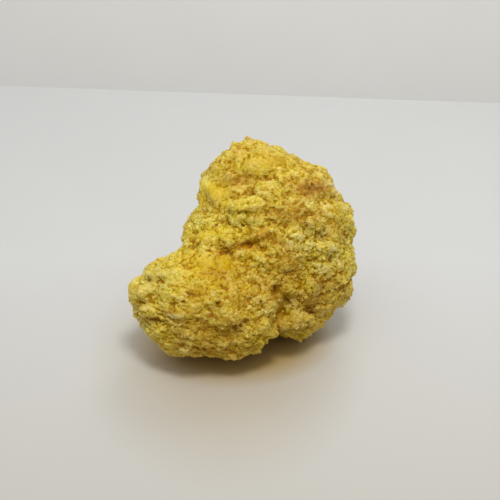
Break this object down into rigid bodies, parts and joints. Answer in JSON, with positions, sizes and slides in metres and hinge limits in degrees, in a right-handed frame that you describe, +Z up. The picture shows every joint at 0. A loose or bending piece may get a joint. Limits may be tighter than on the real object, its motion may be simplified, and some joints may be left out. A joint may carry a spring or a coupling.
{
  "type": "native sulfur crystal specimen",
  "caption": "Hand specimen of sugary native sulfur: a lumpy yellow mass with a front lobe, ledges and pits, resting on cut-flat feet.",
  "frame": {"origin": "on the ground, under the middle of the bounding box", "axes": "+Z up; the display side with the front lobe faces -Y; +X to the right as seen from that side"},
  "size_m": [0.0766, 0.0678, 0.0644],
  "materials": {
    "sulfur": "rough sugary grain, slightly glassy"
  },
  "bodies": {
    "root": {"sulfur_specimen": "sulfur"}
  },
  "joints": []
}
